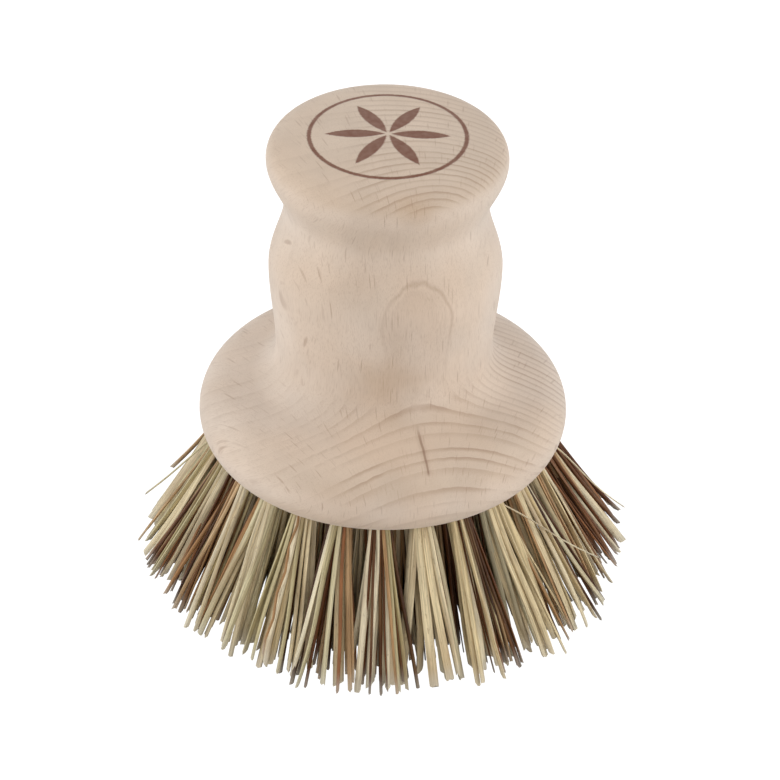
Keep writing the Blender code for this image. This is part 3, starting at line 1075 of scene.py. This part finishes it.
def tuft_legs(seat, fibre, root, ways, tuft_aim, fan, chance):
    """The two legs of one fibre, each with the height of its end."""
    legs = []
    for side in (1, -1):
        place = (side * root[0], root[1])
        way = ways[2 * fibre.stalk + (side < 0)] + OWN_WAY * draw_way(chance)
        way[0] += FAN_OUT * place[0] + tuft_aim[0]
        way[1] += fan_aside(place[1] / BUNDLE_RADIUS, fan) + tuft_aim[1]
        uneven = chance.gauss(0.0, TRIM_UNEVENNESS)
        if fibre.tone > DARK_TONE and chance.random() < SLIPPED_SHARE:
            uneven -= SLIPPED_BY
        legs.append(leg(place, seat, way, uneven))
    return legs


def loose_leg(seat, root, slope_out, slope_aside, tip_height, curls, curl_size):
    """The outer leg of a loose fibre."""
    way = (slope_out, slope_aside, 0.0006, 0.0004, curl_size, curl_size)
    return leg(root, seat, way, 0.0, tip_height, curls)


def tuft_mesh(title, seat, chance):
    """The mesh of one tuft, with what the material needs to know about each corner."""
    loose = LOOSE_FIBRES.get(title)
    fibres, roots, fan = drawn_mixture(seat, loose, chance)
    ways = [draw_way(chance) for _ in range(2 * len(fibres))]
    outwards, aside = math.cos(seat.azimuth), -math.sin(seat.azimuth)
    tuft_aim = [PULL * to_right + chance.gauss(0, AIM_VARIES) for to_right in (outwards, aside)]
    corners, faces, strips, tones, places, ends = [], [], [], [], [], []
    for number, (fibre, root) in enumerate(zip(fibres, roots)):
        (here, here_cut), (there, there_cut) = tuft_legs(seat, fibre, root, ways, tuft_aim, fan, chance)
        if loose and number == len(fibres) - 1:
            here, here_cut = loose_leg(seat, root, *loose[2:])
        points = np.concatenate([here[::-1], fold(root, fibre.radius), there])
        rings = tube(points, fibre, seat.matrix, (here_cut, there_cut), chance)
        faces += fibre_faces(len(points), len(corners) * len(points) * FIBRE_SIDES)
        corners.append(rings.reshape(-1, 3))
        strips.append(strip_map(len(points), number, len(fibres)))
        steps = np.linalg.norm(np.diff(points, axis=0), axis=1)
        travelled = np.concatenate([[0], np.cumsum(steps)])
        places.append(own_places(travelled, fibre.radius, chance))
        tones.append(np.full(len(corners[-1]), fibre.tone))
        ends.append(np.repeat(np.minimum(travelled, travelled[-1] - travelled), FIBRE_SIDES))
    mesh = bpy.data.meshes.new("fibres_" + title)
    mesh.from_pydata(np.concatenate(corners).tolist(), [], faces)
    for attribute, values in (("tone", tones), ("from_end", ends)):
        mesh.attributes.new(attribute, "FLOAT", "POINT").data.foreach_set("value", np.concatenate(values))
    own = mesh.attributes.new("place", "FLOAT_VECTOR", "POINT")
    own.data.foreach_set("vector", np.concatenate(places).ravel())
    mesh.uv_layers.new(name="OFBake").data.foreach_set("uv", np.concatenate(strips).ravel())
    smooth(mesh, FIBRE_SHARP)
    return mesh, 2 * len(fibres)


def make_tufts():
    """Every tuft as a piece of its own, with its node's name and its seat."""
    made, fibre_ends = [], 0
    for seat in seats:
        title = f"{seat.ring + 1}_{seat.number + 1:02d}"
        mesh, count = tuft_mesh(title, seat, random.Random(f"{SEED}_{title}"))
        made.append((show("fibres_" + title, mesh), "tuft_" + title, seat))
        fibre_ends += count
    print("tufts:", len(made), "with", fibre_ends, "fibre ends")
    return made


tufts = make_tufts()

# %% [markdown]
# Plant fibre
#
# One material serves every fibre. The tone that each fibre carries picks its colour from a Color Ramp, so
# no two are quite alike. Streaks run lengthwise, because the noise is read in the fibre's own place and
# stretched along it. The cut ends are greyer: partly worn and frayed, partly a painted halo of light from the
# white paper round them.

# %% Material: plant fibre
FIBRE_RAMP = (
    (0.00, (240, 227, 197)),
    (0.20, (218, 196, 152)),
    (0.21, (216, 205, 171)),
    (0.40, (190, 175, 131)),
    (0.41, (204, 172, 131)),
    (0.60, (164, 120, 75)),
    (0.61, (150, 98, 60)),
    (0.80, (92, 51, 22)),
    (0.81, (98, 53, 14)),
    (1.00, (64, 33, 3)),
)
STREAK_STRETCH = (6250.0, 6250.0, 160.0)
FRECKLE_STRETCH = (3200.0, 3200.0, 900.0)
STAIN_STRETCH = (40.0, 40.0, 55.0)
# The last colour is the grey of the cut ends: partly their wear, partly a painted halo of light from the
# white paper.
STAINED, FRECKLED, WORN_AND_HALO = from_screen(138, 104, 68), from_screen(120, 84, 52), from_screen(196, 190, 178)
WORN_AND_HALO_LENGTH = 0.0034


def stretched_noise(place, stretch, detail=1.0, roughness=0.5):
    """A noise with its own number of cells per metre in each direction."""
    return noise(vector_maths("MULTIPLY", place, stretch), 1.0, detail, roughness)


def tone_colour(tone):
    """The colour of a fibre with this tone."""
    colours = add(tone.tree, "ShaderNodeValToRGB", {0: tone})
    stops = colours.color_ramp.elements
    while len(stops) < len(FIBRE_RAMP):
        stops.new(0.5)
    for stop, (position, screen) in zip(stops, FIBRE_RAMP):
        stop.position, stop.color = position, from_screen(*screen)
    return Value(colours.outputs[0])


def plant_fibre():
    """The material of every fibre."""
    material, tree, shader = new_material("plant_fibre", 0.5, specular=0.3)
    place = outcome(tree, "ShaderNodeAttribute", output="Vector", attribute_name="place")
    tone = outcome(tree, "ShaderNodeAttribute", output="Fac", attribute_name="tone")
    from_end = outcome(tree, "ShaderNodeAttribute", output="Fac", attribute_name="from_end")
    streaks = stretched_noise(place, STREAK_STRETCH, 3.0, 0.65)
    freckles = ramp(stretched_noise(place, FRECKLE_STRETCH, 2.0), 0.62, 0.75)
    colour = mixed(1.0, tone_colour(tone), grey(ramp(streaks, 0.28, 0.72, 0.60, 1.15)), "MULTIPLY")
    colour = mixed(ramp(stretched_noise(place, STAIN_STRETCH), 0.48, 0.75, 0.0, 0.55), colour, STAINED)
    colour = mixed(0.35 * freckles, colour, FRECKLED)
    feed(shader, {
        # The ends turn towards that grey: wear, and a painted halo of light.
        "Base Color": mixed(ramp(from_end, 0.0, WORN_AND_HALO_LENGTH, 0.45, 0.0), colour, WORN_AND_HALO),
        "Roughness": 0.36 + 0.3 * streaks,
        "Normal": outcome(tree, "ShaderNodeBump", {"Height": streaks, "Strength": 0.6, "Distance": 0.00006}),
    })
    return material


fibre_material = plant_fibre()
for tuft, _node_name, _seat in tufts:
    tuft.data.materials.append(fibre_material)
print("material", fibre_material.name, "has", len(fibre_material.node_tree.nodes), "nodes")

# %% [markdown]
# The anchors
#
# Inside each hole a short piece of flat steel wire lies across the folded fibres, and its ends bite the
# wood. It never shows on a whole brush, but it is what holds the tuft. All anchors are alike, so they share
# one bevelled mesh.

# %% Make the anchors
ANCHOR_LENGTH = 0.00351
ANCHOR_HEIGHT = 0.0020
ANCHOR_BEVEL = 0.00008
ANCHOR_SHARP = math.radians(50)


def anchor_mesh():
    """A flat piece of wire with softened edges, at its height in the hole."""
    shape = bmesh.new()
    bmesh.ops.create_cube(shape, size=1.0)
    bmesh.ops.scale(shape, vec=(ANCHOR_THICKNESS, ANCHOR_LENGTH, ANCHOR_HEIGHT), verts=shape.verts)
    bmesh.ops.bevel(shape, geom=shape.edges[:], offset=ANCHOR_BEVEL, segments=3, affect="EDGES", profile=0.5)
    bmesh.ops.translate(shape, vec=(0, 0, FOLD_TOP - ANCHOR_HEIGHT / 2), verts=shape.verts)
    mesh = finished("anchor", shape)
    smooth(mesh, ANCHOR_SHARP)
    return mesh


def drawn_steel():
    """Steel wire with fine lines from the rollers."""
    material, tree, shader = new_material("drawn_steel", 0.35, metallic=1.0)
    point = outcome(tree, "ShaderNodeTexCoord", output="Object")
    lines = noise(vector_maths("MULTIPLY", point, (1.0, 0.02, 1.0)), 9000.0)
    feed(shader, {
        "Base Color": mixed(lines, from_screen(176, 178, 182), from_screen(208, 209, 212)),
        "Roughness": ramp(lines, 0.2, 0.8, 0.28, 0.48),
    })
    return material


wire = anchor_mesh()
wire.materials.append(drawn_steel())
anchors = []
for _tuft, node_name, seat in tufts:
    anchor = show(node_name.replace("tuft", "anchor"), wire)
    anchor.matrix_world = seat.matrix
    anchors.append(anchor)
print("anchors:", len(anchors))

# %% [markdown]
# Standing in for the solids
#
# The detailed pieces take the place of the plain solids, which stay for weight and contact. Nothing moves
# on this brush, so everything rides on its one body.

# %% Seat every piece
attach(block, "root")
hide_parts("block")
for tuft, node_name, _seat in tufts:
    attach(tuft, "root")
    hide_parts(node_name)
for anchor in anchors:
    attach(anchor, "root")
print("pieces:", 1 + len(tufts) + len(anchors))

# %% [markdown]
# The floor
#
# The brush stands on plain white paper. In a picture on white the paper is so bright that hardly a shadow
# is left, so the camera sees it mostly as its own even light: the Light Path node tells the camera's rays
# from the others. Seen from below, the paper lets the eye through, so that the underside of the brush can
# be looked at too: the Backfacing output of the Geometry node tells one side of a face from the other.

# %% Lay the floor
FLOOR_HALF = 3.0
PAPER_GLOW, PAPER_BRIGHTNESS = 0.85, 1.25
WHITE = (1.0, 1.0, 1.0, 1.0)


def white_paper():
    """Paper that the camera sees mostly as an even light, and that is clear from below."""
    material, tree, shader = new_material("white_paper", 0.9, specular=0.1)
    pulp = noise(outcome(tree, "ShaderNodeTexCoord", output="Object"), 30.0)
    feed(shader, {"Base Color": grey(ramp(pulp, 0.0, 1.0, 0.79, 0.81))})
    bright = outcome(tree, "ShaderNodeEmission", {"Color": WHITE, "Strength": PAPER_BRIGHTNESS})
    seen = PAPER_GLOW * outcome(tree, "ShaderNodeLightPath", output="Is Camera Ray")
    paper = outcome(tree, "ShaderNodeMixShader", {0: seen, 1: Value(shader.outputs[0]), 2: bright})
    below = outcome(tree, "ShaderNodeNewGeometry", output="Backfacing")
    clear = outcome(tree, "ShaderNodeBsdfTransparent")
    side = outcome(tree, "ShaderNodeMixShader", {0: below, 1: paper, 2: clear})
    feed(tree.nodes["Material Output"], {"Surface": side})
    return material


def white_floor():
    """A wide white floor that shows from above only."""
    shape = bmesh.new()
    bmesh.ops.create_grid(shape, x_segments=8, y_segments=8, size=FLOOR_HALF)
    mesh = finished("floor", shape)
    mesh.materials.append(white_paper())
    return show("floor", mesh)


floor = white_floor()
floor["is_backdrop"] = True
print("floor:", 2 * FLOOR_HALF, "m wide")

# %% [markdown]
# Studio light
#
# The photograph was taken in a white tent: light from all round, a little more from both sides than from
# the front, and hardly any shadow. A white world does most of that, and soft panels at the sides, in front
# and behind above do the rest. The light from the front is a little warmer than the light from the other
# sides.

# %% Light the brush
WORLD_STRENGTH = 0.50
WARM, COOL = (1.0, 0.95, 0.87), (0.95, 0.985, 1.0)


def panel(name, place, aim, size, power, tint):
    """A soft square lamp at a place, turned towards aim."""
    lamp = bpy.data.lights.new(name, "AREA")
    lamp.shape, lamp.size, lamp.energy, lamp.color = "SQUARE", size, power, tint
    shown = show(name, lamp)
    shown.location = place
    shown.rotation_euler = (Vector(aim) - Vector(place)).to_track_quat("-Z", "Y").to_euler()


def light_studio():
    """A white world and four soft panels."""
    world = bpy.data.worlds.new("tent")
    world.use_nodes = True
    feed(world.node_tree.nodes["Background"], {"Color": WHITE, "Strength": WORLD_STRENGTH})
    bpy.context.scene.world = world
    aim = (0, 0, 0.04)
    panel("left_panel", (-0.75, -0.02, 0.40), aim, 0.6, 4.0, COOL)
    panel("right_panel", (0.75, -0.06, 0.40), aim, 0.6, 3.85, COOL)
    panel("front_panel", (0.0, -0.90, 0.10), aim, 0.6, 2.1, WARM)
    panel("top_panel", (0.0, 0.55, 0.80), aim, 0.7, 0.8, COOL)


light_studio()
bpy.context.scene.view_settings.view_transform = "Standard"
print("lights:", sum(o.type == "LIGHT" for o in bpy.context.scene.objects))

# %% [markdown]
# The camera
#
# The camera looks down at 35 degrees with a long lens from 70 cm. The photograph is turned by about a
# degree and sits a little to the left, so the camera is rolled by as much and has a small shift.

# %% Place the camera
CAMERA_DISTANCE = 0.700
CAMERA_ELEVATION = math.radians(35.04)
CAMERA_ROLL = math.radians(1.1)
CAMERA_AIM = Vector((0, 0, 0.03319))
SENSOR_WIDTH = 36.0
PICTURE_PIXELS = 780
FOCAL_PIXELS = 4285.3
AXIS_OFFSET_PIXELS = 6.9

camera_data = bpy.data.cameras.new("camera")
camera_data.sensor_width = SENSOR_WIDTH
camera_data.lens = FOCAL_PIXELS / PICTURE_PIXELS * SENSOR_WIDTH
camera_data.shift_x = AXIS_OFFSET_PIXELS / PICTURE_PIXELS
camera_data.clip_start, camera_data.clip_end = 0.01, 50.0
camera = show("camera", camera_data)
back = Vector((0, -math.cos(CAMERA_ELEVATION), math.sin(CAMERA_ELEVATION)))
camera.location = CAMERA_AIM + back * CAMERA_DISTANCE
look = (-back).to_track_quat("-Z", "Y").to_matrix() @ Matrix.Rotation(CAMERA_ROLL, 3, "Z")
camera.rotation_euler = look.to_euler()
bpy.context.scene.camera = camera
print("lens:", round(camera_data.lens, 1), "mm, shift", round(camera_data.shift_x, 4))

# %% [markdown]
# Print the sizes and finish
#
# The last cell prints the box of the dressed brush beside that of the solids, so that the two can be set side
# by side.

# %% Print the sizes and finish
new_low, new_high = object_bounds()
boxes = {"cad": [list(cad_low), list(cad_high)], "visual": [list(new_low), list(new_high)]}
for title, (low, high) in boxes.items():
    print(title, "box in mm:", [round(1000 * c, 2) for c in low], [round(1000 * c, 2) for c in high])
